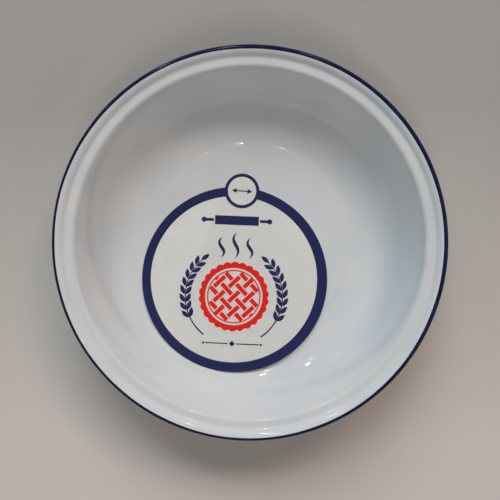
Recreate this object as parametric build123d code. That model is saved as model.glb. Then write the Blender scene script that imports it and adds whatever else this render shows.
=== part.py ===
from build123d import *
import math
import os
from dataclasses import dataclass

# Round pressed-steel pie dish: a thin sheet dish whose edge is rolled into a bead, coated all
# over with two layers of vitreous enamel, with a blue enamel band on the bead and a loose card
# label lying on its floor. Millimetres. The dish's axis is Z and its foot stands on z = 0.

# The dish over everything
rim_diameter = 260.0            # across the blue bead
dish_height = 45.0              # from the table to the top of the bead

# Layers of the wall
sheet_thickness = 0.5           # pressed steel
ground_coat_thickness = 0.12    # dark first enamel, fired on all over the steel
white_coat_thickness = 0.2      # white enamel, fired on all over the ground coat
blue_coat_thickness = 0.15      # blue enamel over the bead alone

# Floor: a middle panel raised a little above the flat ring that the dish stands on
panel_lift = 0.6                # from the ring up to the panel
step_radius = 6.0               # of both bends of the step between them
foot_ring_width = 13.3          # flat part of the ring, from the step to the corner

# Corner, wall and the shoulder where the wall turns over into the flange
corner_radius = 20.0
wall_angle = 66.1               # degrees from level
shoulder_radius = 2.8

# Flange: a level ledge turns up into a flare, which bends back over a crown to the lip
flange_width = 11.6             # from the blue bead's outermost line in to the ledge
ledge_width = 2.8               # level part, from the shoulder to the flare
flare_radius = 3.6              # of the bend up
flare_angle = 42.0              # degrees up, between the bend and the crown
crown_radius = 6.0
lip_angle = 15.0                # degrees up, between the crown and the bead
lip_width = 1.0                 # straight part, from the crown to the bead

# Bead: the sheet's edge rolled outwards, down and under
bead_radius = 1.15              # of the middle of the sheet
bead_turn = 238.0               # degrees that the sheet turns round
blue_lip_width = 0.9            # of the blue enamel on the lip, before it turns round the bead
blue_sweep = 211.0              # degrees that it turns from there, over the outside and under

# Card label with a round tab, slid to where its edge rides up the dish's corner
card_thickness = 0.4
card_radius = 65.7
tab_radius = 12.3
tab_distance = 63.1             # from the middle of the card to the middle of the tab
tab_angle = 85.1                # degrees from +X, as the card lies
card_slide_angle = 246.8        # degrees from +X: the way that the card has slid
card_edge_rise = 1.4            # of its lowest edge above the raised panel
card_clearance = 0.15           # between the card and the enamel that it lies on

# Worked out from the sizes above. The outline below follows the middle of the steel sheet.
steel_half = sheet_thickness / 2
ground_half = steel_half + ground_coat_thickness
wall_half = ground_half + white_coat_thickness
bead_outside = bead_radius + wall_half
bead_middle_r = rim_diameter / 2 - blue_coat_thickness - bead_outside
bead_middle_z = dish_height - blue_coat_thickness - bead_outside
ledge_r = rim_diameter / 2 - flange_width
ring_z = wall_half


@dataclass(frozen=True)
class Run:
    """A straight stretch of the sheet."""

    length: float


@dataclass(frozen=True)
class Bend:
    """A bend of the sheet: its radius, and the degrees that it turns, upwards if positive."""

    radius: float
    turn: float


def sine(angle):
    return math.sin(math.radians(angle))


def cosine(angle):
    return math.cos(math.radians(angle))


def versine(angle):
    """How far a bend of unit radius leaves its tangent, as it turns through an angle."""
    return 1 - cosine(angle)


# Flange: the flare's straight part takes what is left between its bend and the crown
lip_r = bead_middle_r - bead_radius * sine(lip_angle) - lip_width * cosine(lip_angle)
lip_z = bead_middle_z + bead_radius * cosine(lip_angle) - lip_width * sine(lip_angle)
crown_r = lip_r - crown_radius * (sine(flare_angle) - sine(lip_angle))
crown_z = lip_z - crown_radius * (cosine(lip_angle) - cosine(flare_angle))
flare_run = (
    crown_r - ledge_r - ledge_width - flare_radius * sine(flare_angle)
) / cosine(flare_angle)
ledge_z = crown_z - flare_run * sine(flare_angle) - flare_radius * versine(flare_angle)

# Wall and floor: the wall's length follows the height, and the floor takes what is left
wall_run = (
    ledge_z - ring_z - (shoulder_radius + corner_radius) * versine(wall_angle)
) / sine(wall_angle)
floor_r = (
    ledge_r - (shoulder_radius + corner_radius) * sine(wall_angle) - wall_run * cosine(wall_angle)
)
step_turn = math.degrees(math.acos(1 - panel_lift / (2 * step_radius)))
panel_r = floor_r - foot_ring_width - 2 * step_radius * sine(step_turn)
panel_z = ring_z + panel_lift

SHEET = [
    Run(panel_r),
    Bend(step_radius, -step_turn),
    Bend(step_radius, step_turn),
    Run(foot_ring_width),
    Bend(corner_radius, wall_angle),
    Run(wall_run),
    Bend(shoulder_radius, -wall_angle),
    Run(ledge_width),
    Bend(flare_radius, flare_angle),
    Run(flare_run),
    Bend(crown_radius, lip_angle - flare_angle),
    Run(lip_width),
    Bend(bead_radius, -bead_turn),
]


def parallel_line(offset, overrun):
    """Edges of the line at an offset above the middle of the sheet, from the axis to its end.

    The last bend runs on past the sheet's cut edge by the overrun.
    """
    spot = Vector(0, panel_z + offset)
    heading = 0.0
    edges = []
    for stretch in SHEET:
        if isinstance(stretch, Run):
            end = spot + Vector(cosine(heading), sine(heading)) * stretch.length
            edges.append(Line(spot, end))
        else:
            side = math.copysign(1, stretch.turn)
            turn = stretch.turn
            if stretch is SHEET[-1]:
                turn += side * math.degrees(overrun / stretch.radius)
            radius = stretch.radius - side * offset
            centre = spot + Vector(-sine(heading), cosine(heading)) * radius * side
            halfway = heading + turn / 2
            middle = centre + Vector(sine(halfway), -cosine(halfway)) * radius * side
            heading += turn
            end = centre + Vector(sine(heading), -cosine(heading)) * radius * side
            edges.append(ThreePointArc(spot, middle, end))
        spot = end
    return edges


def turned(edges):
    """The solid that a closed outline beside the axis makes when it is turned round it."""
    return revolve(Plane.XZ * make_face(edges), axis=Axis.Z)


def sheet_solid(half_thickness, overrun):
    """The sheet with a given half thickness, run on past its cut edge by the overrun."""
    upper = parallel_line(half_thickness, overrun)
    lower = parallel_line(-half_thickness, overrun)
    cut_edge = Line(upper[-1] @ 1, lower[-1] @ 1)
    on_axis = Line(lower[0] @ 0, upper[0] @ 0)
    return turned(upper + [cut_edge] + lower + [on_axis])


def steel_pressing():
    return sheet_solid(steel_half, 0)


def ground_coat():
    """The dark enamel all round the steel, over its cut edge too."""
    return sheet_solid(ground_half, ground_coat_thickness) - steel_pressing()


def white_enamel():
    """The white enamel all round the ground coat."""
    overrun = ground_coat_thickness + white_coat_thickness
    return sheet_solid(wall_half, overrun) - sheet_solid(ground_half, ground_coat_thickness)


def blue_rim_enamel():
    """The blue enamel on the lip, over the bead and round its outside."""
    middle = (bead_middle_r, bead_middle_z)
    straight_up = 90
    down_lip = Vector(-cosine(lip_angle), -sine(lip_angle)) * blue_lip_width
    edges, upper_ends, lower_ends = [], [], []
    for radius in (bead_outside, bead_outside + blue_coat_thickness):
        over_bead = CenterArc(middle, radius, straight_up + lip_angle, -blue_sweep)
        over_lip = Line(over_bead @ 0 + down_lip, over_bead @ 0)
        edges += [over_lip, over_bead]
        upper_ends.append(over_lip @ 0)
        lower_ends.append(over_bead @ 1)
    return turned(edges + [Line(*upper_ends), Line(*lower_ends)])


def label_card():
    """The card lies on the raised panel, tipped a little where its edge rides up the corner."""
    finished_corner = corner_radius - wall_half
    edge_height = panel_lift + card_edge_rise
    reach = floor_r + math.sqrt(finished_corner**2 - (finished_corner - edge_height) ** 2)
    tab_turn = tab_angle - card_slide_angle
    length = card_radius + tab_radius - tab_distance * cosine(tab_turn)
    tip = math.degrees(math.asin(card_edge_rise / length))

    # Drawn with the way that it has slid along +X, its lowest edge at the origin
    disc = Pos(-card_radius, 0) * Circle(card_radius)
    tab_place = Vector(cosine(tab_turn), sine(tab_turn)) * tab_distance
    tab = Pos(tab_place.X - card_radius, tab_place.Y) * Circle(tab_radius)
    flat_card = extrude(disc + tab, card_thickness)
    seat_z = panel_z + wall_half + card_edge_rise + card_clearance
    return Rot(0, 0, card_slide_angle) * Pos(reach, 0, seat_z) * Rot(0, -tip, 0) * flat_card


def main():
    os.makedirs("parts", exist_ok=True)
    for make in (steel_pressing, ground_coat, white_enamel, blue_rim_enamel, label_card):
        export_step(make(), f"parts/{make.__name__}.step")


main()
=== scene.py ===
"""Round enamelled pie dish with a loose card label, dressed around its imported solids.

Metres. The dish's axis is Z, its foot ring stands on z = 0, +Y is the top of the photograph.
"""

import logging
import math
from dataclasses import dataclass
from enum import Enum

import bpy
from mathutils import Matrix, Quaternion, Vector


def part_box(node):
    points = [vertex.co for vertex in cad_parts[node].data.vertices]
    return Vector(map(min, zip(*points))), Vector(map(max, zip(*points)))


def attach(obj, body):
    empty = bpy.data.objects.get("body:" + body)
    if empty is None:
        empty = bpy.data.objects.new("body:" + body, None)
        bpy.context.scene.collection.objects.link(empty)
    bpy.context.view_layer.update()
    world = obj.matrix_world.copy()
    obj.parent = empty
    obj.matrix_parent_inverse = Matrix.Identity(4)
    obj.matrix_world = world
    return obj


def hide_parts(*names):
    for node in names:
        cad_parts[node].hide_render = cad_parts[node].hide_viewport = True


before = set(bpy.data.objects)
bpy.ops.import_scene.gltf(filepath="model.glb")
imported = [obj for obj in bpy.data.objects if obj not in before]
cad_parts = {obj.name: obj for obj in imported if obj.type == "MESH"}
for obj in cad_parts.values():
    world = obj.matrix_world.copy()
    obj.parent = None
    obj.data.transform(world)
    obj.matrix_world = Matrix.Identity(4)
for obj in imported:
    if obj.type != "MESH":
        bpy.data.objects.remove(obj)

MM = 0.001
FULL_TURN = 2 * math.pi
# How much of a linear colour's brightness is its red, green and blue
BRIGHTNESS_SHARES = Vector((0.2126, 0.7152, 0.0722))
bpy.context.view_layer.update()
log = logging.getLogger("pie_dish")


class Body(Enum):
    """The bodies that pieces ride on."""

    DISH = "dish"
    LABEL = "label"


class Slot(Enum):
    """The record's material slots, for the pieces that are modelled here."""

    WHITE = "white_enamel"
    BLUE = "blue_enamel"
    BOARD = "label_board"
    NAVY = "navy_ink"
    RED = "red_ink"


class Cut(Enum):
    """What a piece does to the piece that it meets."""

    JOIN = "UNION"
    TAKE = "DIFFERENCE"


# Colours and shader nodes


def linear(hex_colour: str) -> tuple[float, float, float, float]:
    """Turns an sRGB hex colour to linear RGBA.

    Args:
        hex_colour: six hex digits after a hash sign.

    Returns:
        The linear colour with an alpha of 1.
    """
    channels = [int(hex_colour[i : i + 2], 16) / 255 for i in (1, 3, 5)]
    turned = [c / 12.92 if c <= 0.04045 else ((c + 0.055) / 1.055) ** 2.4 for c in channels]
    return (*turned, 1.0)


def add_node(
    tree: bpy.types.NodeTree, kind: str, inputs: dict | None = None, **settings
) -> bpy.types.Node:
    """Adds a node with its settings and links.

    Args:
        tree: the node tree that it goes into.
        kind: the node's type name.
        inputs: input name or index to a value, or to the output socket that feeds it.
        settings: attributes of the node itself.

    Returns:
        The new node.
    """
    node = tree.nodes.new(kind)
    for name, value in settings.items():
        setattr(node, name, value)
    for key, value in (inputs or {}).items():
        if isinstance(value, bpy.types.NodeSocket):
            tree.links.new(value, node.inputs[key])
        else:
            node.inputs[key].default_value = value
    return node


def pattern_scale(size: float) -> float:
    """Scale of a noise or cell texture whose features are a given size in metres."""
    return 1 / size


def blank_material(name: str) -> tuple[bpy.types.Material, bpy.types.NodeTree]:
    """Makes a material with an empty node tree.

    Args:
        name: the material's name.

    Returns:
        The material and its tree.
    """
    material = bpy.data.materials.new(name)
    material.use_nodes = True
    material.node_tree.nodes.clear()
    return material, material.node_tree


def two_shades(
    tree: bpy.types.NodeTree, value: bpy.types.NodeSocket, value_range: tuple[float, float],
    shades: tuple[str, str],
) -> bpy.types.NodeSocket:
    """Turns one shade into another as a value crosses a range.

    Args:
        tree: the node tree that this goes into.
        value: the value.
        value_range: where it is all the first shade, and where it is all the second.
        shades: the two hex colours.

    Returns:
        The colour.
    """
    share = add_node(
        tree, "ShaderNodeMapRange",
        {"Value": value, "From Min": value_range[0], "From Max": value_range[1]},
    )
    first, second = (linear(shade) for shade in shades)
    inputs = {"Factor": share.outputs["Result"], "A": first, "B": second}
    return add_node(tree, "ShaderNodeMix", inputs, data_type="RGBA").outputs["Result"]


def finish_off(tree: bpy.types.NodeTree, inputs: dict) -> None:
    """Adds the principled shader with its inputs, and the material's output."""
    shader = add_node(tree, "ShaderNodeBsdfPrincipled", inputs)
    add_node(tree, "ShaderNodeOutputMaterial", {"Surface": shader.outputs[0]})


# Finishes


@dataclass(frozen=True)
class Grain:
    """A pattern of noise on a finish, whose features have a real size.

    Its detail is how many finer layers it has. Its depth is how high it stands in relief.
    """

    size: float
    detail: float = 2.0
    depth: float = 0.0

    def add(self, tree: bpy.types.NodeTree) -> bpy.types.NodeSocket:
        """Adds the pattern in object coordinates.

        Args:
            tree: the material's node tree.

        Returns:
            Its value, about 0.5.
        """
        place = add_node(tree, "ShaderNodeTexCoord").outputs["Object"]
        inputs = {"Vector": place, "Scale": pattern_scale(self.size), "Detail": self.detail}
        return add_node(tree, "ShaderNodeTexNoise", inputs).outputs["Fac"]


@dataclass(frozen=True)
class Finish:
    """What the finishes below share: a shade clouded with another, and perhaps a relief.

    Each of them says what the real finish is and what that gives the eye.
    """

    name: str
    colour: str
    clouded_colour: str
    clouds: Grain
    cloud_range: tuple[float, float]
    roughness: float
    reliefs: tuple[Grain, ...] = ()
    ior: float = 1.5
    metallic: float = 0.0

    def shade(self, tree: bpy.types.NodeTree) -> bpy.types.NodeSocket:
        """Adds the clouded colour, and returns it."""
        shades = self.colour, self.clouded_colour
        return two_shades(tree, self.clouds.add(tree), self.cloud_range, shades)

    def surface(self, tree: bpy.types.NodeTree) -> dict[str, bpy.types.NodeSocket]:
        """Adds the relief of its clouds and its other reliefs, each upon the one before.

        Args:
            tree: the material's node tree.

        Returns:
            The shader's normal by the name of its input, or nothing where the surface is plain.
        """
        normal = {}
        for grain in (self.clouds, *self.reliefs):
            if grain.depth:
                bump = add_node(
                    tree, "ShaderNodeBump",
                    {"Height": grain.add(tree), "Distance": grain.depth, "Strength": 1.0, **normal},
                )
                normal = {"Normal": bump.outputs["Normal"]}
        return normal

    def make(self) -> bpy.types.Material:
        """Makes the material.

        Returns:
            The material.
        """
        material, tree = blank_material(self.name)
        finish_off(tree, {
            "Base Color": self.shade(tree), "Metallic": self.metallic,
            "Roughness": self.roughness, "IOR": self.ior, **self.surface(tree),
        })
        return material


@dataclass(frozen=True)
class WhiteEnamel(Finish):
    """Opaque white vitreous enamel, dipped over a dark ground coat and fired.

    To the eye it is a cool white glass skin: sharp small highlights that swim a little, because
    the glaze flowed in the kiln, a faint change of tone from thick to thin, and a rare dark
    speck. Underneath are three small marks where it stood on pins in the kiln.
    """

    name: str = "vitreous_enamel_white"
    colour: str = "#DCDDDD"
    clouded_colour: str = "#D5D8DA"
    # The glaze's flow, with the fine peel of its skin upon it
    clouds: Grain = Grain(38 * MM, detail=1.0, depth=0.05 * MM)
    cloud_range: tuple[float, float] = (0.35, 0.65)
    reliefs: tuple[Grain, ...] = (Grain(5 * MM, detail=1.0, depth=0.0022 * MM),)
    speck_colour: str = "#5A5A5C"
    speck_spacing: float = 15 * MM
    speck_radius: float = 0.22 * MM
    pin_circle_radius: float = 80 * MM
    pin_radius: float = 0.9 * MM
    pins: int = 3
    ior: float = 1.52
    roughness: float = 0.06

    def spots(
        self, tree: bpy.types.NodeTree, gap: bpy.types.NodeSocket, radius: float
    ) -> bpy.types.NodeSocket:
        """Turns the gap from each spot's middle to 1 on the spot, and returns that."""
        inputs = {"Value": gap, "From Min": radius, "From Max": radius / 2}
        return add_node(tree, "ShaderNodeMapRange", inputs).outputs["Result"]

    def specks(self, tree: bpy.types.NodeTree) -> bpy.types.NodeSocket:
        """Adds the rare specks.

        Args:
            tree: the material's node tree.

        Returns:
            1 inside them and 0 elsewhere.
        """
        place = add_node(tree, "ShaderNodeTexCoord").outputs["Object"]
        cells = add_node(
            tree, "ShaderNodeTexVoronoi",
            {"Vector": place, "Scale": pattern_scale(self.speck_spacing)},
        )
        radius = self.speck_radius / self.speck_spacing
        return self.spots(tree, cells.outputs["Distance"], radius)

    def pin_marks(self, tree: bpy.types.NodeTree) -> bpy.types.NodeSocket:
        """Adds the marks of the kiln's pins.

        Args:
            tree: the material's node tree.

        Returns:
            1 inside them and 0 elsewhere.
        """
        place = add_node(tree, "ShaderNodeTexCoord").outputs["Object"]
        nearest = None
        for i in range(self.pins):
            turn = FULL_TURN * (i + 0.5) / self.pins
            spot = self.pin_circle_radius * Vector((math.cos(turn), math.sin(turn), 0))
            gap = add_node(
                tree, "ShaderNodeVectorMath", {0: place, 1: spot}, operation="DISTANCE"
            ).outputs["Value"]
            if nearest is not None:
                gap = add_node(
                    tree, "ShaderNodeMath", {0: nearest, 1: gap}, operation="MINIMUM"
                ).outputs[0]
            nearest = gap
        return self.spots(tree, nearest, self.pin_radius)

    def shade(self, tree: bpy.types.NodeTree) -> bpy.types.NodeSocket:
        """Adds the clouded colour, with the specks and the pins' marks on it.

        Args:
            tree: the material's node tree.

        Returns:
            The colour.
        """
        dark = add_node(
            tree, "ShaderNodeMath", {0: self.specks(tree), 1: self.pin_marks(tree)},
            operation="MAXIMUM",
        ).outputs[0]
        inputs = {"Factor": dark, "A": super().shade(tree), "B": linear(self.speck_colour)}
        return add_node(tree, "ShaderNodeMix", inputs, data_type="RGBA").outputs["Result"]


@dataclass(frozen=True)
class BlueEnamel(Finish):
    """Cobalt-blue vitreous enamel, brushed round the bead by hand and fired last.

    To the eye it is nearly black glass with a blue body, a little paler where the brush left
    it thin, and as glossy as the white.
    """

    name: str = "vitreous_enamel_blue"
    colour: str = "#181D3B"
    clouded_colour: str = "#22294F"
    clouds: Grain = Grain(7 * MM, depth=0.012 * MM)
    cloud_range: tuple[float, float] = (0.35, 0.7)
    ior: float = 1.52
    roughness: float = 0.1


@dataclass(frozen=True)
class GroundEnamel(Finish):
    """Dark cobalt-bearing ground enamel, dipped and fired on bare steel.

    To the eye it is blue-black glass, dull where gas pricked it. The white enamel hides it.
    """

    name: str = "vitreous_enamel_ground"
    colour: str = "#191C26"
    clouded_colour: str = "#2A2D36"
    clouds: Grain = Grain(0.8 * MM, detail=3.0)
    cloud_range: tuple[float, float] = (0.55, 0.7)
    ior: float = 1.52
    roughness: float = 0.25


@dataclass(frozen=True)
class PressedSteel(Finish):
    """Low-carbon cold-rolled steel sheet, drawn in a press and pickled before enamelling.

    To the eye it is a dull grey metal with the faint mottling of the pickling bath.
    """

    name: str = "cold_rolled_steel"
    colour: str = "#A3A4A6"
    clouded_colour: str = "#8D8E91"
    clouds: Grain = Grain(3 * MM, detail=4.0)
    cloud_range: tuple[float, float] = (0.35, 0.65)
    metallic: float = 1.0
    roughness: float = 0.42


@dataclass(frozen=True)
class CoatedBoard(Finish):
    """White-lined carton board, clay coated on its printed side and die cut.

    To the eye it is a warm off-white with a dull sheen, clouded a little by its fibres. The
    fibres are drawn about twice as coarse as real ones, so that a close view shows them.
    """

    name: str = "coated_carton_board"
    colour: str = "#DFDFDB"
    clouded_colour: str = "#DCDCD7"
    clouds: Grain = Grain(6 * MM, detail=4.0)
    cloud_range: tuple[float, float] = (0.35, 0.65)
    reliefs: tuple[Grain, ...] = (Grain(0.35 * MM, depth=0.004 * MM),)
    ior: float = 1.45
    roughness: float = 0.55


@dataclass(frozen=True)
class PrintedInk(Finish):
    """Offset ink, printed solid on the coated board.

    To the eye it is a flat colour with a soft sheen and a faint mottle of the press.
    """

    clouds: Grain = Grain(0.9 * MM, detail=3.0)
    cloud_range: tuple[float, float] = (0.3, 0.7)
    roughness: float = 0.42


# Modelling by hand tools


def deselect() -> None:
    """Leaves edit mode and deselects every object."""
    if bpy.context.object and bpy.context.object.mode != "OBJECT":
        bpy.ops.object.mode_set(mode="OBJECT")
    bpy.ops.object.select_all(action="DESELECT")


def only(piece: bpy.types.Object) -> None:
    """Selects a piece alone and makes it the active one.

    Args:
        piece: the piece.
    """
    deselect()
    piece.select_set(True)
    bpy.context.view_layer.objects.active = piece


def point_chain(name: str, points: list[Vector], closed: bool = False) -> bpy.types.Object:
    """Draws a chain of edges through points, by extruding one vertex.

    Args:
        name: the new piece's name.
        points: the places of its vertices.
        closed: whether an edge joins the last vertex to the first.

    Returns:
        The piece, left in edit mode with all its vertices selected.
    """
    deselect()
    bpy.ops.mesh.primitive_plane_add(size=1, location=(0, 0, 0))
    piece = bpy.context.object
    piece.name = piece.data.name = name
    bpy.ops.object.mode_set(mode="EDIT")
    bpy.ops.mesh.select_all(action="SELECT")
    bpy.ops.mesh.merge(type="CENTER")
    bpy.ops.transform.translate(value=points[0])
    for here, there in zip(points, points[1:]):
        bpy.ops.mesh.extrude_region_move(TRANSFORM_OT_translate={"value": there - here})
    bpy.ops.mesh.select_all(action="SELECT")
    if closed:
        bpy.ops.mesh.edge_face_add()
    return piece


def turned_piece(name: str, outline: list[tuple[float, float]], steps: int) -> bpy.types.Object:
    """Spins an outline once round the Z axis.

    Args:
        name: the new piece's name.
        outline: radius and height of each point, with the first and last joined by the spin.
        steps: how many stretches the circle has.

    Returns:
        The closed piece, smooth shaded, in object mode.
    """
    piece = point_chain(name, [Vector((radius, 0, height)) for radius, height in outline])
    bpy.ops.mesh.spin(steps=steps, angle=FULL_TURN, center=(0, 0, 0), axis=(0, 0, 1))
    bpy.ops.mesh.select_all(action="SELECT")
    bpy.ops.mesh.remove_doubles(threshold=0.001 * MM)
    bpy.ops.mesh.normals_make_consistent(inside=False)
    bpy.ops.object.mode_set(mode="OBJECT")
    bpy.ops.object.shade_smooth()
    return piece


def cut_with(piece: bpy.types.Object, tool: bpy.types.Object, cut: Cut = Cut.TAKE) -> None:
    """Cuts a piece by another or joins them, and deletes the other.

    Args:
        piece: the piece that keeps the result.
        tool: the piece that it is cut by or joined to.
        cut: which of the two.
    """
    only(piece)
    modifier = piece.modifiers.new("cut", "BOOLEAN")
    modifier.object = tool
    modifier.operation = cut.value
    modifier.solver = "EXACT"
    bpy.ops.object.modifier_apply(modifier=modifier.name)
    bpy.data.objects.remove(tool, do_unlink=True)


def disc(
    name: str, radius: float, levels: tuple[float, float],
    middle: tuple[float, float] = (0, 0), sides: int = 256,
) -> bpy.types.Object:
    """Adds a flat disc.

    Args:
        name: the new piece's name.
        radius: its radius.
        levels: the heights of its underside and its top.
        middle: its middle.
        sides: how many flats its edge has.

    Returns:
        The piece, in object mode.
    """
    bottom, top = levels
    deselect()
    bpy.ops.mesh.primitive_cylinder_add(
        vertices=sides, radius=radius, depth=top - bottom, location=(*middle, (bottom + top) / 2)
    )
    piece = bpy.context.object
    piece.name = piece.data.name = name
    bpy.ops.object.transform_apply(location=True, rotation=True, scale=True)
    return piece


def washer(
    name: str, outside: float, inside: float, levels: tuple[float, float],
    middle: tuple[float, float] = (0, 0), shift: tuple[float, float] = (0, 0), sides: int = 256,
) -> bpy.types.Object:
    """Adds a flat ring.

    Args:
        name: the new piece's name.
        outside: its outer radius.
        inside: its inner radius.
        levels: the heights of its underside and its top.
        middle: its middle.
        shift: how far off its middle the hole is.
        sides: how many flats each of its edges has.

    Returns:
        The piece, in object mode.
    """
    ring = disc(name, outside, levels, middle, sides)
    bore(ring, inside, levels, (middle[0] + shift[0], middle[1] + shift[1]), sides)
    return ring


def bore(
    piece: bpy.types.Object, radius: float, levels: tuple[float, float],
    middle: tuple[float, float] = (0, 0), sides: int = 256,
) -> None:
    """Cuts a round hole right through a flat piece.

    Args:
        piece: the piece.
        radius: the hole's radius.
        levels: the heights of the piece's underside and its top.
        middle: the hole's middle.
        sides: how many flats its edge has.
    """
    bottom, top = levels
    room = top - bottom
    cut_with(piece, disc("hole", radius, (bottom - room, top + room), middle, sides))


def bar(
    name: str, size: tuple[float, float], levels: tuple[float, float],
    middle: tuple[float, float] = (0, 0), turn: float = 0,
) -> bpy.types.Object:
    """Adds a flat bar.

    Args:
        name: the new piece's name.
        size: its length and its width.
        levels: the heights of its underside and its top.
        middle: its middle.
        turn: how far it is turned about its middle.

    Returns:
        The piece, in object mode.
    """
    bottom, top = levels
    deselect()
    bpy.ops.mesh.primitive_cube_add(
        size=1, location=(*middle, (bottom + top) / 2), rotation=(0, 0, turn),
        scale=(*size, top - bottom),
    )
    piece = bpy.context.object
    piece.name = piece.data.name = name
    bpy.ops.object.transform_apply(location=True, rotation=True, scale=True)
    return piece


def flat_shape(
    name: str, outline: list[tuple[float, float]], levels: tuple[float, float]
) -> bpy.types.Object:
    """Draws a closed outline and extrudes it.

    Args:
        name: the new piece's name.
        outline: the points of the outline, in order.
        levels: the heights of its underside and its top.

    Returns:
        The piece, in object mode.
    """
    bottom, top = levels
    piece = point_chain(name, [Vector((x, y, bottom)) for x, y in outline], closed=True)
    bpy.ops.mesh.extrude_region_move(TRANSFORM_OT_translate={"value": (0, 0, top - bottom)})
    bpy.ops.mesh.select_all(action="SELECT")
    bpy.ops.mesh.normals_make_consistent(inside=False)
    bpy.ops.object.mode_set(mode="OBJECT")
    return piece


def copies_of(
    piece: bpy.types.Object, places: list[tuple[tuple[float, float], float]]
) -> list[bpy.types.Object]:
    """Copies a flat piece to its places, and deletes the piece itself.

    Args:
        piece: the piece, drawn about the origin.
        places: where each copy goes, and how far it is turned about Z before that.

    Returns:
        The copies, each with a mesh of its own.
    """
    copies = []
    for spot, turn in places:
        copy = piece.copy()
        copy.data = piece.data.copy()
        bpy.context.scene.collection.objects.link(copy)
        put(copy, Matrix.Translation((*spot, 0)) @ Matrix.Rotation(turn, 4, "Z"))
        copies.append(copy)
    bpy.data.objects.remove(piece, do_unlink=True)
    return copies


def both_sides(
    piece: bpy.types.Object, middle: tuple[float, float], reach: float
) -> list[bpy.types.Object]:
    """Copies a flat piece to the left and the right of a middle, and deletes the piece itself."""
    x, y = middle
    return copies_of(piece, [((x - reach, y), 0.0), ((x + reach, y), 0.0)])


def joined(name: str, pieces: list[bpy.types.Object]) -> bpy.types.Object:
    """Joins pieces that don't touch into one.

    Args:
        name: the name of the whole.
        pieces: the pieces.

    Returns:
        The whole.
    """
    only(pieces[0])
    for piece in pieces:
        piece.select_set(True)
    bpy.ops.object.join()
    result = bpy.context.object
    result.name = result.data.name = name
    return result


def put(piece: bpy.types.Object, place: Matrix) -> None:
    """Moves a piece and keeps the place in its mesh.

    Args:
        piece: the piece.
        place: the move.
    """
    only(piece)
    piece.matrix_world = place @ piece.matrix_world
    bpy.ops.object.transform_apply(location=True, rotation=True, scale=True)


def dress(piece: bpy.types.Object, material: bpy.types.Material) -> None:
    """Gives a piece one material all over."""
    piece.data.materials.clear()
    piece.data.materials.append(material)


# The dish


@dataclass(frozen=True)
class Run:
    """A straight stretch of the sheet."""

    length: float


@dataclass(frozen=True)
class Bend:
    """A bend of the sheet: its radius, and the angle that it turns, upwards if positive."""

    radius: float
    turn: float


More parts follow.
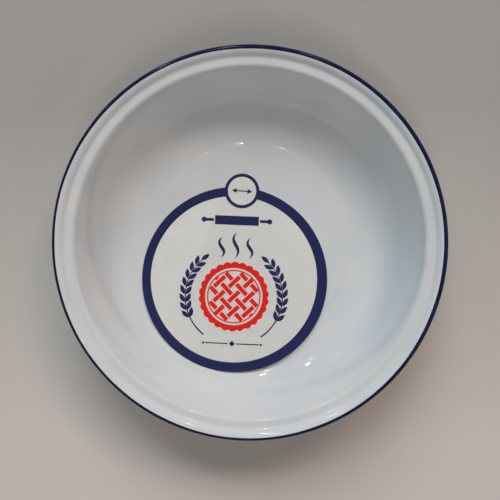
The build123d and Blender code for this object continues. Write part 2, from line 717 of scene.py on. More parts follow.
@dataclass(frozen=True)
class DishSizes:
    """The sheet's sizes as its solids have them. The line is that of the sheet's middle."""

    rim_radius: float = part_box("blue_rim_enamel")[1][0]
    height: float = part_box("blue_rim_enamel")[1][2]
    sheet: float = 0.5 * MM
    ground_coat: float = 0.12 * MM
    white_coat: float = 0.2 * MM
    blue_coat: float = 0.15 * MM
    panel_lift: float = 0.6 * MM
    step_radius: float = 6.0 * MM
    foot_ring_width: float = 13.3 * MM
    corner_radius: float = 20 * MM
    wall_angle: float = math.radians(66.1)
    shoulder_radius: float = 2.8 * MM
    flange_width: float = 11.6 * MM
    ledge_width: float = 2.8 * MM
    flare_radius: float = 3.6 * MM
    flare_angle: float = math.radians(42)
    crown_radius: float = 6 * MM
    lip_angle: float = math.radians(15)
    lip_width: float = 1 * MM
    bead_radius: float = 1.15 * MM
    bead_turn: float = math.radians(238)

    @property
    def wall_half(self) -> float:
        """From the middle of the sheet to the white enamel's surface."""
        return self.sheet / 2 + self.ground_coat + self.white_coat

    @property
    def bead_outside(self) -> float:
        """Radius of the white enamel round the bead."""
        return self.bead_radius + self.wall_half

    @property
    def bead_middle(self) -> tuple[float, float]:
        """Radius and height of the bead's middle."""
        inset = self.blue_coat + self.bead_outside
        return self.rim_radius - inset, self.height - inset

    @property
    def step_turn(self) -> float:
        """How far each bend of the floor's step turns."""
        return math.acos(1 - self.panel_lift / (2 * self.step_radius))

    @property
    def panel_z(self) -> float:
        """Height of the sheet's middle in the raised panel."""
        return self.wall_half + self.panel_lift

    @property
    def ledge_r(self) -> float:
        """Radius where the ledge begins."""
        return self.rim_radius - self.flange_width

    @property
    def crown(self) -> tuple[float, float]:
        """Where the flare meets the crown.

        Returns:
            Radius and height of the sheet's middle there.
        """
        flare, lip = self.flare_angle, self.lip_angle
        radius = (
            self.bead_middle[0] - self.bead_radius * math.sin(lip)
            - self.lip_width * math.cos(lip) - self.crown_radius * (math.sin(flare) - math.sin(lip))
        )
        height = (
            self.bead_middle[1] + self.bead_radius * math.cos(lip)
            - self.lip_width * math.sin(lip) - self.crown_radius * (math.cos(lip) - math.cos(flare))
        )
        return radius, height

    @property
    def flare_run(self) -> float:
        """Straight length of the flare, between its bend and the crown."""
        bend = self.flare_radius * math.sin(self.flare_angle)
        return (self.crown[0] - self.ledge_r - self.ledge_width - bend) / math.cos(self.flare_angle)

    @property
    def ledge_z(self) -> float:
        """Height of the sheet's middle in the ledge."""
        bend = self.flare_radius * (1 - math.cos(self.flare_angle))
        return self.crown[1] - self.flare_run * math.sin(self.flare_angle) - bend

    @property
    def wall_run(self) -> float:
        """Straight length of the wall."""
        bends = (self.shoulder_radius + self.corner_radius) * (1 - math.cos(self.wall_angle))
        return (self.ledge_z - self.wall_half - bends) / math.sin(self.wall_angle)

    @property
    def floor_r(self) -> float:
        """Radius where the flat foot ring ends and the corner begins."""
        bends = (self.shoulder_radius + self.corner_radius) * math.sin(self.wall_angle)
        return self.ledge_r - bends - self.wall_run * math.cos(self.wall_angle)

    @property
    def panel_r(self) -> float:
        """Radius of the flat of the raised panel."""
        step = 2 * self.step_radius * math.sin(self.step_turn)
        return self.floor_r - self.foot_ring_width - step

    def stretches(self) -> list[Run | Bend]:
        """Lists the sheet's stretches.

        Returns:
            Its runs and bends, from the axis out to its edge.
        """
        return [
            Run(self.panel_r),
            Bend(self.step_radius, -self.step_turn),
            Bend(self.step_radius, self.step_turn),
            Run(self.foot_ring_width),
            Bend(self.corner_radius, self.wall_angle),
            Run(self.wall_run),
            Bend(self.shoulder_radius, -self.wall_angle),
            Run(self.ledge_width),
            Bend(self.flare_radius, self.flare_angle),
            Run(self.flare_run),
            Bend(self.crown_radius, self.lip_angle - self.flare_angle),
            Run(self.lip_width),
            Bend(self.bead_radius, -self.bead_turn),
        ]

    def line(
        self, offset: float, overrun: float, run_step: float, bend_step: float
    ) -> list[tuple[float, float]]:
        """Finds the line at an offset above the middle of the sheet.

        Args:
            offset: how far above the middle, or below it if negative.
            overrun: how far the last bend runs on past the sheet's cut edge.
            run_step: longest stretch between points on a run.
            bend_step: largest angle between points on a bend.

        Returns:
            Radius and height of each point, from the axis to the sheet's edge.
        """
        radius, height, heading = 0.0, self.panel_z + offset, 0.0
        points = [(radius, height)]
        stretches = self.stretches()
        for stretch in stretches:
            if isinstance(stretch, Run):
                count = math.ceil(stretch.length / run_step)
                for _ in range(count):
                    radius += stretch.length / count * math.cos(heading)
                    height += stretch.length / count * math.sin(heading)
                    points.append((radius, height))
                continue
            side = math.copysign(1, stretch.turn)
            turn = stretch.turn
            if stretch is stretches[-1]:
                turn += side * overrun / stretch.radius
            reach = (stretch.radius - side * offset) * side
            middle = radius - reach * math.sin(heading), height + reach * math.cos(heading)
            count = math.ceil(abs(turn) / bend_step)
            for _ in range(count):
                heading += turn / count
                radius = middle[0] + reach * math.sin(heading)
                height = middle[1] - reach * math.cos(heading)
                points.append((radius, height))
        return points


@dataclass
class EnamelledDish:
    """The dish: its white enamel skin, and the blue enamel brushed round its bead."""

    sizes: DishSizes
    round_steps: int = 300
    run_step: float = 4 * MM
    bend_step: float = math.radians(7)
    bead_step: float = math.radians(9)
    # Blue band: how far in it shows from above, wider at one side where the brush leaned
    blue_width: float = 2.7 * MM
    blue_lean: float = 0.5 * MM
    blue_lean_angle: float = math.radians(40)
    # Its edge's waves: how many go round the dish, how deep they are and where they start
    blue_waver: tuple[tuple[int, float, float], ...] = (
        (3, 0.12 * MM, 1.0), (7, 0.07 * MM, 2.1), (16, 0.035 * MM, 0.4), (29, 0.02 * MM, 3.0),
    )
    # Its section: it thins to a feather edge at both ends, and is sunk into the white enamel
    blue_thickness: float = 0.1 * MM
    blue_lip_width: float = 0.9 * MM
    blue_under_angle: float = math.radians(-106)
    feather_length: float = 0.4 * MM
    feather_edge: float = 0.02 * MM
    sunk: float = 0.02 * MM
    # White enamel that pooled in a bend: its radius, how far it spreads and how far it rises
    flare_pool: tuple[float, float, float] = (122.2 * MM, 5 * MM, 0.06 * MM)
    shoulder_pool: tuple[float, float, float] = (117.1 * MM, 4.5 * MM, -0.2 * MM)

    def white_skin(self) -> bpy.types.Object:
        """Spins the sheet's whole outline, above, round its cut edge and below.

        Returns:
            The skin.
        """
        half = self.sizes.wall_half
        overrun = self.sizes.ground_coat + self.sizes.white_coat
        above = self.sizes.line(half, overrun, self.run_step, self.bend_step)
        below = self.sizes.line(-half, overrun, self.run_step, self.bend_step)
        above = self.pooled(above, *self.flare_pool)
        below = self.pooled(below, *self.shoulder_pool)
        return turned_piece("white_enamel_skin", above + below[::-1], self.round_steps)

    def pooled(
        self, line: list[tuple[float, float]], middle: float, spread: float, rise: float,
    ) -> list[tuple[float, float]]:
        """Thickens the enamel where it ran together in the hollow of a bend.

        Args:
            line: radius and height of each point of the enamel's outline.
            middle: radius of the hollow.
            spread: how far to each side of it the enamel is thicker.
            rise: how far it moves the outline up, in the hollow.

        Returns:
            The outline with the thicker enamel.
        """
        thicker = []
        for radius, height in line:
            share = min(abs(radius - middle) / spread, 1)
            thicker.append((radius, height + rise * math.cos(share * math.pi / 2) ** 2))
        return thicker

    @property
    def bead_start(self) -> float:
        """Angle about the bead's middle, from outwards, at which the lip runs into it."""
        return math.pi / 2 + self.sizes.lip_angle

    def on_bead(self, along: float, offset: float) -> tuple[float, float]:
        """Finds a place on the blue band's section.

        Args:
            along: length from where the lip meets the bead, outwards over the white enamel.
            offset: height above the white enamel.

        Returns:
            Its radius and height.
        """
        sizes = self.sizes
        angle = self.bead_start - max(along, 0) / sizes.bead_outside
        reach = sizes.bead_outside + offset
        down = min(along, 0)
        return (
            sizes.bead_middle[0] + reach * math.cos(angle) + down * math.cos(sizes.lip_angle),
            sizes.bead_middle[1] + reach * math.sin(angle) + down * math.sin(sizes.lip_angle),
        )

    def blue_edge(self, turn: float) -> float:
        """Finds where the brush left the blue band's upper edge.

        Args:
            turn: angle round the dish, from +X.

        Returns:
            The edge's place, as a length along the bead as on_bead takes it.
        """
        sizes = self.sizes
        width = self.blue_width + self.blue_lean * math.cos(turn - self.blue_lean_angle)
        for count, reach, start in self.blue_waver:
            width += reach * math.cos(count * turn + start)
        outside = sizes.bead_outside + sizes.blue_coat
        on_bead = outside * (1 + math.sin(sizes.lip_angle))
        if width > on_bead:
            return max((on_bead - width) / math.cos(sizes.lip_angle), -self.blue_lip_width)
        return (self.bead_start - math.acos(1 - width / outside)) * sizes.bead_outside

    def blue_band(self) -> bpy.types.Object:
        """Spins the band's section, then draws its upper edge in and out along the bead.

        Returns:
            The band.
        """
        sizes = self.sizes
        first = -self.blue_lip_width
        last = (self.bead_start - self.blue_under_angle) * sizes.bead_outside
        count = math.ceil((last - first) / (self.bead_step * sizes.bead_outside))
        outer = []
        for i in range(count + 1):
            along = first + (last - first) * i / count
            share = min(1.0, min(along - first, last - along) / self.feather_length)
            rise = math.sin(share * math.pi / 2)
            thickness = self.feather_edge + (self.blue_thickness - self.feather_edge) * rise
            outer.append((along, thickness))
        inner = [(along, -self.sunk) for along, _ in reversed(outer)]
        section = outer + inner
        places = [self.on_bead(along, offset) for along, offset in section]
        band = turned_piece("blue_rim_band", places + places[:1], self.round_steps)
        for vertex in band.data.vertices:
            spot = vertex.co
            turn = math.atan2(spot.y, spot.x)
            near = min(
                range(len(section)),
                key=lambda i: (places[i][0] - math.hypot(spot.x, spot.y)) ** 2
                + (places[i][1] - spot.z) ** 2,
            )
            along, offset = section[near]
            share = (last - along) / (last - first)
            radius, height = self.on_bead(last - (last - self.blue_edge(turn)) * share, offset)
            vertex.co = (radius * math.cos(turn), radius * math.sin(turn), height)
        return band

    def dress_hidden_layers(self) -> None:
        """Gives the steel and the ground coat inside the white enamel their own finishes."""
        dress(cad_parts["steel_pressing"], PressedSteel().make())
        dress(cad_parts["ground_coat"], GroundEnamel().make())

    def build(self) -> list[bpy.types.Object]:
        """Builds and dresses the dish.

        Returns:
            Its new pieces.
        """
        self.dress_hidden_layers()
        skin, band = self.white_skin(), self.blue_band()
        dress(skin, WhiteEnamel().make())
        dress(band, BlueEnamel().make())
        for piece, node, slot in (
            (skin, "white_enamel", Slot.WHITE), (band, "blue_rim_enamel", Slot.BLUE),
        ):
            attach(piece, Body.DISH.value)
            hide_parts(node)
        return [skin, band]


# The label


@dataclass
class LabelArt:
    """What is printed inside the card's border: a lattice pie in red between ears of wheat.

    Steam and a rolling pin are above it and a rule is below it, all in navy. Places are about
    the middle of the card.
    """

    levels: tuple[float, float]
    turn: float = math.radians(2.5)
    # Pie
    pie_middle: tuple[float, float] = (0, -12 * MM)
    crust_radius: float = 23.6 * MM
    flute_depth: float = 1.3 * MM
    flutes: int = 26
    flute_points: int = 8
    crust_inside: float = 20.4 * MM
    lattice_radius: float = 19 * MM
    lattice_ring: float = 0.9 * MM
    strip_width: float = 3 * MM
    strip_spacing: float = 7.4 * MM
    strip_gap: float = 0.65 * MM
    strips: int = 5
    strip_headings: tuple[float, float] = (math.radians(45), math.radians(135))
    # Steam
    wisp_spacing: float = 10 * MM
    wisp_bottom: float = 15.5 * MM
    wisp_height: float = 18 * MM
    side_wisp_share: float = 0.8
    wisp_sway: float = 1.8 * MM
    wisp_width: float = 2.3 * MM
    wisp_tip_share: float = 0.12
    wisp_steps: int = 24
    # Wheat
    ear_radius: float = 34.5 * MM
    ear_start: float = math.radians(-54)
    ear_end: float = math.radians(52)
    stem_share: float = 0.96
    stem_steps: int = 30
    stem_width: float = 0.8 * MM
    # Share of that width at the root, and the share that is lost by the tip
    stem_taper: tuple[float, float] = (1.3, 0.6)
    grain_size: tuple[float, float] = (7.4 * MM, 3.1 * MM)
    grain_spread: float = math.radians(27)
    grain_aside: float = 2.2 * MM
    grain_start: float = 0.3
    grain_pairs: int = 8
    grain_steps: int = 10
    # Rolling pin
    pin_middle: tuple[float, float] = (0, 42 * MM)
    pin_body: tuple[float, float] = (31 * MM, 6.4 * MM)
    pin_handle: tuple[float, float] = (5.5 * MM, 2 * MM)
    pin_gap: float = 0.8 * MM
    pin_knob: float = 1.8 * MM
    pin_knob_share: float = 0.8
    pin_knob_sides: int = 40
    # Rule
    rule_y: float = -45.5 * MM
    rule_size: tuple[float, float] = (16 * MM, 0.8 * MM)
    diamond: float = 3 * MM
    diamond_turn: float = math.radians(45)
    # Double-headed arrow across the tab
    arrow_length: float = 14.5 * MM
    arrow_line: float = 0.8 * MM
    arrow_head: tuple[float, float] = (3.4 * MM, 3.6 * MM)

    def pie(self) -> bpy.types.Object:
        """Draws the fluted crust and the woven strips inside it.

        Returns:
            The pie, in one piece.
        """
        steps = self.flutes * self.flute_points
        outline = []
        for i in range(steps):
            turn = FULL_TURN * i / steps
            reach = self.crust_radius + self.flute_depth * abs(math.sin(turn * self.flutes / 2))
            outline.append((reach * math.cos(turn), reach * math.sin(turn)))
        crust = flat_shape("crust", outline, self.levels)
        bore(crust, self.crust_inside, self.levels)
        inside = self.lattice_radius - self.lattice_ring
        ring = washer("lattice_ring", self.lattice_radius, inside, self.levels)
        cut_with(ring, joined("strips", self.woven_strips()), Cut.JOIN)
        pie = joined("print_pie", [crust, ring])
        put(pie, Matrix.Translation((*self.pie_middle, 0)))
        return pie

    def woven_strips(self) -> list[bpy.types.Object]:
        """Lays strips both ways across the pie, each broken where it dips under another.

        Returns:
            The lengths of strip.
        """
        places = [(i - (self.strips - 1) / 2) * self.strip_spacing for i in range(self.strips)]
        inside = self.lattice_radius - self.lattice_ring / 2
        half_break = self.strip_width / 2 + self.strip_gap
        pieces = []
        for way, heading in enumerate(self.strip_headings):
            for i, aside in enumerate(places):
                outer_edge = abs(aside) + self.strip_width / 2
                reach = math.sqrt(inside**2 - outer_edge**2)
                side = -1 if way else 1
                breaks = sorted(side * p for j, p in enumerate(places) if (i + j + way) % 2)
                ends = [-reach] + [p + s * half_break for p in breaks for s in (-1, 1)] + [reach]
                ends = [min(max(end, -reach), reach) for end in ends]
                for start, end in zip(ends[::2], ends[1::2]):
                    if end - start < self.strip_gap:
                        continue
                    along = (start + end) / 2
                    middle = (
                        along * math.cos(heading) - aside * math.sin(heading),
                        along * math.sin(heading) + aside * math.cos(heading),
                    )
                    pieces.append(bar("strip", (end - start, self.strip_width),
                                      self.levels, middle, heading))
        return pieces

    def ribbon(
        self, name: str, spine: list[tuple[float, float]], widths: list[float]
    ) -> bpy.types.Object:
        """Draws a flat ribbon.

        Args:
            name: the new piece's name.
            spine: the points of its middle line.
            widths: its width at each of them.

        Returns:
            The ribbon.
        """
        left, right = [], []
        last = len(spine) - 1
        for i, ((x, y), width) in enumerate(zip(spine, widths)):
            before, after = spine[max(i - 1, 0)], spine[min(i + 1, last)]
            along = Vector((after[0] - before[0], after[1] - before[1])).normalized()
            aside = Vector((-along.y, along.x)) * width / 2
            left.append((x + aside.x, y + aside.y))
            right.append((x - aside.x, y - aside.y))
        return flat_shape(name, left + right[::-1], self.levels)

    def wisp(self, height: float) -> bpy.types.Object:
        """Draws a wisp of steam in the middle.

        Args:
            height: how tall it is.

        Returns:
            The wisp.
        """
        spine, widths = [], []
        for i in range(self.wisp_steps + 1):
            share = i / self.wisp_steps
            sway = self.wisp_sway * math.sin(FULL_TURN * share)
            spine.append((sway, self.wisp_bottom + height * share))
            swell = (1 - self.wisp_tip_share) * math.sin(math.pi * share)
            widths.append(self.wisp_width * (self.wisp_tip_share + swell))
        return self.ribbon("wisp", spine, widths)

    def steam(self) -> list[bpy.types.Object]:
        """Draws three wisps over the pie, the middle one the tallest, and returns them."""
        aside = self.wisp(self.wisp_height * self.side_wisp_share)
        return [self.wisp(self.wisp_height)] + both_sides(aside, (0, 0), self.wisp_spacing)

    def stem(self, side: int) -> bpy.types.Object:
        """Draws the stem of the ear at one side.

        Args:
            side: 1 for the ear on the right, and -1 for the one on the left.

        Returns:
            The stem.
        """
        spine, widths = [], []
        thick, loss = self.stem_taper
        for i in range(self.stem_steps + 1):
            share = i / self.stem_steps
            spine.append(self.on_ear(share * self.stem_share, side))
            widths.append(self.stem_width * (thick - loss * share))
        return self.ribbon("stem", spine, widths)

    def grain_places(self, side: int) -> list[tuple[tuple[float, float], float]]:
        """Finds where the grains of the ear at one side grow: in pairs, and one at its tip.

        Args:
            side: 1 for the ear on the right, and -1 for the one on the left.

        Returns:
            Each grain's middle, and its heading from +X.
        """
        places = []
        for i in range(self.grain_pairs):
            share = self.grain_start + (1 - self.grain_start) * i / self.grain_pairs
            x, y = self.on_ear(share, side)
            heading = self.ear_heading(share, side)
            for lean in (-1, 1):
                aside = heading + lean * math.pi / 2
                spot = x + self.grain_aside * math.cos(aside), y + self.grain_aside * math.sin(aside)
                places.append((spot, heading + lean * self.grain_spread))
        return places + [(self.on_ear(1, side), self.ear_heading(1, side))]

    def ears(self) -> list[bpy.types.Object]:
        """Draws an ear of wheat up each side of the pie.

        Returns:
            The stems and the grains.
        """
        long, wide = self.grain_size
        steps = self.grain_steps
        upper = [
            (long * (i / steps - 0.5), wide / 2 * math.sin(math.pi * i / steps))
            for i in range(steps + 1)
        ]
        lower = [(x, -y) for x, y in reversed(upper[1:-1])]
        grain = flat_shape("grain", upper + lower, self.levels)
        grains = copies_of(grain, self.grain_places(-1) + self.grain_places(1))
        return [self.stem(-1), self.stem(1)] + grains

    def on_ear(self, share: float, side: int) -> tuple[float, float]:
        """Finds a place on an ear's stem.

        Args:
            share: share of the stem's length.
            side: 1 for the ear on the right, and -1 for the one on the left.

        Returns:
            The place.
        """
        turn = self.ear_start + (self.ear_end - self.ear_start) * share
        reach = self.ear_radius
        return (
            self.pie_middle[0] + side * reach * math.cos(turn),
            self.pie_middle[1] + reach * math.sin(turn),
        )

    def ear_heading(self, share: float, side: int) -> float:
        """The way that an ear's stem grows, from +X, at a place as on_ear takes it."""
        turn = self.ear_start + (self.ear_end - self.ear_start) * share
        return math.atan2(math.cos(turn), -side * math.sin(turn))

    def rolling_pin(self) -> list[bpy.types.Object]:
        """Draws the pin.

        Returns:
            Its body, its handles and their knobs.
        """
        body = bar("pin_body", self.pin_body, self.levels, self.pin_middle)
        handle = bar("pin_handle", self.pin_handle, self.levels)
        knob = disc("pin_knob", self.pin_knob, self.levels, sides=self.pin_knob_sides)
        start = self.pin_body[0] / 2 + self.pin_gap
        end = start + self.pin_handle[0]
        handles = both_sides(handle, self.pin_middle, start + self.pin_handle[0] / 2)
        knobs = both_sides(knob, self.pin_middle, end + self.pin_knob * self.pin_knob_share)
        return [body] + handles + knobs

    def rule(self) -> list[bpy.types.Object]:
        """Draws a broken rule with a diamond in its middle and smaller ones at its ends.

        Returns:
            The lengths of rule and the diamonds.
        """
        middle = 0, self.rule_y
        long, small = self.rule_size[0], self.diamond / 2
        large = bar("diamond", (self.diamond, self.diamond), self.levels, middle, self.diamond_turn)
        end = bar("end_diamond", (small, small), self.levels, turn=self.diamond_turn)
        lines = both_sides(bar("rule", self.rule_size, self.levels), middle, self.diamond + long / 2)
        return [large] + lines + both_sides(end, middle, self.diamond + long + small)

    def arrow(self, middle: tuple[float, float]) -> bpy.types.Object:
        """Draws a double-headed arrow across the tab.

        Args:
            middle: the tab's middle.

        Returns:
            The arrow.
        """
        long, wide = self.arrow_head
        tip = self.arrow_length / 2
        neck, barb, line = tip - long, wide / 2, self.arrow_line / 2
        below = [(-tip, 0), (-neck, -barb), (-neck, -line), (neck, -line), (neck, -barb)]
        outline = [
            (middle[0] + side * x, middle[1] + side * y) for side in (1, -1) for x, y in below
        ]
        return flat_shape("arrow", outline, self.levels)

    def build(self, tab_middle: tuple[float, float]) -> tuple[bpy.types.Object, bpy.types.Object]:
        """Draws the art.

        Args:
            tab_middle: the tab's middle.

        Returns:
            Its red piece and its navy piece.
        """
        pie = self.pie()
        trim = joined("trim", self.steam() + self.ears() + self.rolling_pin() + self.rule())
        for piece in (pie, trim):
            put(piece, Matrix.Rotation(self.turn, 4, "Z"))
        return pie, joined("print_trim", [trim, self.arrow(tab_middle)])


@dataclass
class CardLabel:
    """The die-cut card with its round tab, and what is printed on it.

    It is drawn flat about the middle of the card, with its tab towards +Y, and then laid in
    the dish where its solid lies.
    """

    dish: DishSizes
    radius: float = 65.7 * MM
    thickness: float = 0.4 * MM
    tab_radius: float = 12.3 * MM
    tab_distance: float = 63.1 * MM
    tab_angle: float = math.radians(85.1)
    slide_angle: float = math.radians(246.8)
    edge_rise: float = 1.4 * MM
    clearance: float = 0.15 * MM
    cut_bevel: float = 0.05 * MM
    sides: int = 360
    tab_sides: int = 120
    flat_angle: float = math.radians(30)
    # Print
    ink: float = 0.04 * MM
    border_inside: float = 59 * MM
    border_off_register: tuple[float, float] = (-0.5 * MM, 0.15 * MM)
    tab_ring_inside: float = 10 * MM
    trim: float = 0.05 * MM

    @property
    def print_levels(self) -> tuple[float, float]:
        """Bottom and top of the ink."""
        return self.thickness, self.thickness + self.ink

    @property
    def tab_middle(self) -> tuple[float, float]:
        """Middle of the tab."""
        return 0, self.tab_distance

    @property
    def place(self) -> Matrix:
        """Where the card lies.

        Returns:
            The move that takes it there: slid to the corner, its lowest edge a little up it.
        """
        dish = self.dish
        corner = dish.corner_radius - dish.wall_half
        edge_height = dish.panel_lift + self.edge_rise
        reach = dish.floor_r + math.sqrt(corner**2 - (corner - edge_height) ** 2)
        tab_turn = self.tab_angle - self.slide_angle
        length = self.radius + self.tab_radius - self.tab_distance * math.cos(tab_turn)
        seat = dish.panel_z + dish.wall_half + self.edge_rise + self.clearance
        return (
            Matrix.Rotation(self.slide_angle, 4, "Z")
            @ Matrix.Translation((reach, 0, seat))
            @ Matrix.Rotation(-math.asin(self.edge_rise / length), 4, "Y")
            @ Matrix.Translation((-self.radius, 0, 0))
            @ Matrix.Rotation(tab_turn - math.pi / 2, 4, "Z")
        )

    def card(self) -> bpy.types.Object:
        """Makes the card itself, with its edges a little softened by the die.

        Returns:
            The card.
        """
        levels = 0, self.thickness
        card = disc("label_board", self.radius, levels, sides=self.sides)
        tab = disc("tab", self.tab_radius, levels, self.tab_middle, self.tab_sides)
        cut_with(card, tab, Cut.JOIN)
        only(card)
        bevel = card.modifiers.new("die_cut", "BEVEL")
        bevel.width, bevel.segments, bevel.limit_method = self.cut_bevel, 2, "ANGLE"
        bpy.ops.object.modifier_apply(modifier=bevel.name)
        bpy.ops.object.shade_smooth_by_angle(angle=self.flat_angle)
        return card

    def border(self) -> bpy.types.Object:
        """Draws the navy border, its inside off register, which stops at the tab.

        Returns:
            The border.
        """
        levels = self.print_levels
        ring = washer("print_border", self.radius - self.trim, self.border_inside, levels,
                      shift=self.border_off_register, sides=self.sides)
        bore(ring, self.tab_radius - self.trim, levels, self.tab_middle, self.tab_sides)
        return ring

    def tab_ring(self) -> bpy.types.Object:
        """The navy ring round the tab."""
        return washer("print_tab_ring", self.tab_radius - self.trim, self.tab_ring_inside,
                      self.print_levels, self.tab_middle, sides=self.tab_sides)

    def build(self) -> list[bpy.types.Object]:
        """Builds, lays and dresses the card and its print.

        Returns:
            The pieces.
        """
        card = self.card()
        dress(card, CoatedBoard().make())
        navy = PrintedInk("offset_ink_navy", "#2B2F5C", "#262A52").make()
        red = PrintedInk("offset_ink_red", "#EE2A22", "#E6251E").make()
        pie, trim = LabelArt(self.print_levels).build(self.tab_middle)
        navy_art = [self.border(), self.tab_ring(), trim]
        for piece in navy_art:
            dress(piece, navy)
        dress(pie, red)
        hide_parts("label_card")
        pieces = [card, pie] + navy_art
        for piece in pieces:
            put(piece, self.place)
            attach(piece, Body.LABEL.value)
        return pieces


# The studio


@dataclass(frozen=True)
class Lamp:
    """A lamp that faces the dish, as bright to the eye in a tint as it is in white.

    Its azimuth, elevation and lean are in degrees.
    """

    name: str
    azimuth: float
    elevation: float
    strength: float
    colour: str = "#FFFFFF"
    distance: float = 2.0
    lean: float = 0.0

    def hang(self, data: bpy.types.Light, mirrored: bool) -> None:
        """Adds the lamp.

        Args:
            data: the light, with its shape.
            mirrored: whether its image shows in the glossy enamel.
        """
        tint = Vector(linear(self.colour)[:3])
        data.energy = self.strength / tint.dot(BRIGHTNESS_SHARES)
        data.color = tint
        lamp = bpy.data.objects.new(self.name, data)
        bpy.context.scene.collection.objects.link(lamp)
        lamp.visible_glossy = mirrored
        azimuth, elevation = math.radians(self.azimuth), math.radians(self.elevation)
        level = math.cos(elevation)
        away = Vector((
            level * math.cos(azimuth), level * math.sin(azimuth), math.sin(elevation)
        ))
        lamp.location = away * self.distance
        lamp.rotation_mode = "QUATERNION"
        upright = away.to_track_quat("Z", "Y")
        leaning = Quaternion((0, 0, 1), -math.radians(self.lean))
        lamp.rotation_quaternion = upright @ leaning


@dataclass(frozen=True)
class Pane(Lamp):
    """A small bright window pane, which glints in the enamel. Its strength is in watts."""

    size: tuple[float, float] = (0.03, 0.25)

    def build(self) -> None:
        """Adds the pane."""
        data = bpy.data.lights.new(self.name, "AREA")
        data.shape = "RECTANGLE"
        data.size, data.size_y = self.size
        self.hang(data, mirrored=True)


@dataclass(frozen=True)
class Sky(Lamp):
    """A broad soft light from far off, too even to glint. Its strength is in W/m2."""

    breadth: float = 26.0

    def build(self) -> None:
        """Adds the light."""
        data = bpy.data.lights.new(self.name, "SUN")
        data.angle = math.radians(self.breadth)
        self.hang(data, mirrored=False)


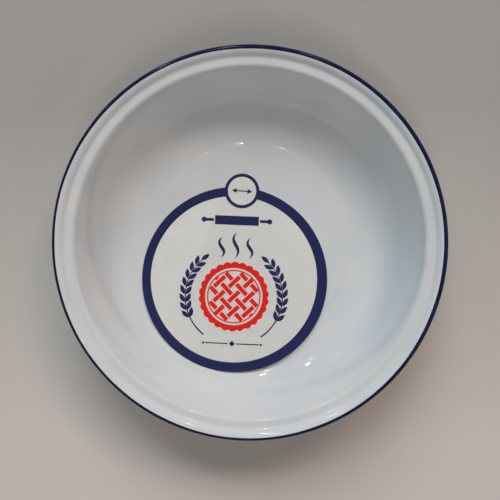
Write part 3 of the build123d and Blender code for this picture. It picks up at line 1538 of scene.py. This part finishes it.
@dataclass
class Studio:
    """A pale floor with light and shade painted on it, under soft light from the top of the picture,
    with five panes.
    """

    # Painted light and shade on the floor: paler towards -Y, the bottom of the picture, which lifts
    # the dish's cast shadow there, and darker towards +Y, the top, across the fade's range of Y in
    # metres
    floor_colour: str = "#D6CEC8"
    far_floor_colour: str = "#ADA9A4"
    floor_fade: tuple[float, float] = (-0.14, 0.1)
    floor_roughness: float = 0.85
    floor_size: float = 8.0
    backdrop_colour: str = "#DAD7D3"
    ambient_colour: str = "#F4F6FA"
    ambient: float = 0.02
    lamps: tuple[Pane | Sky, ...] = (
        Pane("pane_left_low", 117.6, 44, 0.9, "#E4F2FF", lean=6),
        Pane("pane_left_high", 120.5, 59, 0.3, "#E4F2FF", lean=12),
        Pane("pane_middle_low", 97.5, 51.5, 0.95, lean=12),
        Pane("pane_middle_high", 101.5, 66.5, 0.36, lean=12),
        Pane("pane_right", 73.6, 52, 0.7, lean=-12),
        Sky("window_sky", 92, 38, 1.5, "#F3FBFF", breadth=36),
        Sky("window_sky_right", 55, 41, 0.52, "#FFE0CC", breadth=17),
        Sky("window_sky_left", 125, 28, 0.2, "#C7E6FF", breadth=14),
        Sky("bounce", 270, 58, 0.67),
        Sky("bounce_left", 180, 14, 0.12, "#C8F0FF", breadth=16),
        Sky("bounce_right", 0, 14, 0.08, breadth=16),
        Sky("bounce_warm", 300, 32, 0.12, "#FFDDBC", breadth=18),
    )

    def floor(self) -> None:
        """Adds the floor, with painted light and shade: paler towards the bottom of the picture,
        darker towards the top.
        """
        deselect()
        bpy.ops.mesh.primitive_plane_add(size=self.floor_size, location=(0, 0, 0))
        floor = bpy.context.object
        floor.name = floor.data.name = "studio_floor"
        material, tree = blank_material("painted_board_floor")
        place = add_node(tree, "ShaderNodeTexCoord").outputs["Object"]
        across = add_node(tree, "ShaderNodeSeparateXYZ", {0: place}).outputs["Y"]
        # Painted light and shade: the floor's colour goes from the pale shade at the bottom of the
        # picture to the darker one at the top
        shades = self.floor_colour, self.far_floor_colour
        colour = two_shades(tree, across, self.floor_fade, shades)
        finish_off(tree, {"Base Color": colour, "Roughness": self.floor_roughness})
        dress(floor, material)

    def surround(self) -> None:
        """Lights the scene evenly all round, with a plain backdrop for the camera's own rays."""
        world = bpy.data.worlds.new("studio_surround")
        world.use_nodes = True
        world.node_tree.nodes.clear()
        tree = world.node_tree
        light = add_node(tree, "ShaderNodeBackground",
                         {"Color": linear(self.ambient_colour), "Strength": self.ambient})
        backdrop = add_node(tree, "ShaderNodeBackground",
                            {"Color": linear(self.backdrop_colour), "Strength": 1.0})
        ray = add_node(tree, "ShaderNodeLightPath").outputs["Is Camera Ray"]
        mix = add_node(tree, "ShaderNodeMixShader",
                       {0: ray, 1: light.outputs[0], 2: backdrop.outputs[0]})
        add_node(tree, "ShaderNodeOutputWorld", {"Surface": mix.outputs[0]})
        bpy.context.scene.world = world

    def build(self) -> None:
        """Builds the floor, the surround and the lamps."""
        self.floor()
        self.surround()
        for lamp in self.lamps:
            lamp.build()


@dataclass(frozen=True)
class Viewpoint:
    """The photograph's camera: nearly over the dish's middle, a little to its upper right."""

    dish: DishSizes
    image_px: float = 500.0
    rim_middle_px: tuple[float, float] = (248.9, 243.9)
    rim_radius_px: float = 198.4
    distance: float = 500 * MM
    aside: tuple[float, float] = (12.4 * MM, 9.9 * MM)
    sensor: float = 36.0

    def build(self) -> None:
        """Makes the camera and gives it to the scene."""
        rim = Vector((0, 0, self.dish.bead_middle[1]))
        eye = rim + Vector((*self.aside, self.distance))
        px = self.dish.rim_radius / self.rim_radius_px
        half = self.image_px / 2
        across = half - self.rim_middle_px[0]
        down = half - self.rim_middle_px[1]
        target = rim + Vector((across * px, -down * px, 0))
        ahead = (target - eye).normalized()
        right = ahead.cross(Vector((0, 1, 0))).normalized()
        up = right.cross(ahead)
        data = bpy.data.cameras.new("photo_camera")
        data.sensor_width = self.sensor
        reach = (rim - eye).length
        data.lens = self.sensor * self.rim_radius_px / self.image_px * reach / self.dish.rim_radius
        camera = bpy.data.objects.new("photo_camera", data)
        bpy.context.scene.collection.objects.link(camera)
        turn = Matrix((right, up, -ahead)).transposed().to_4x4()
        camera.matrix_world = Matrix.Translation(eye) @ turn
        bpy.context.scene.camera = camera


def main() -> None:
    """Builds the dish, its label, the studio and the camera, and reports each piece."""
    bpy.context.scene.view_settings.view_transform = "Standard"
    sizes = DishSizes()
    pieces = EnamelledDish(sizes).build() + CardLabel(sizes).build()
    Studio().build()
    Viewpoint(sizes).build()
    for piece in pieces:
        log.info("%s: %d faces", piece.name, len(piece.data.polygons))


if __name__ == "__main__":
    logging.basicConfig(level=logging.INFO)
    main()
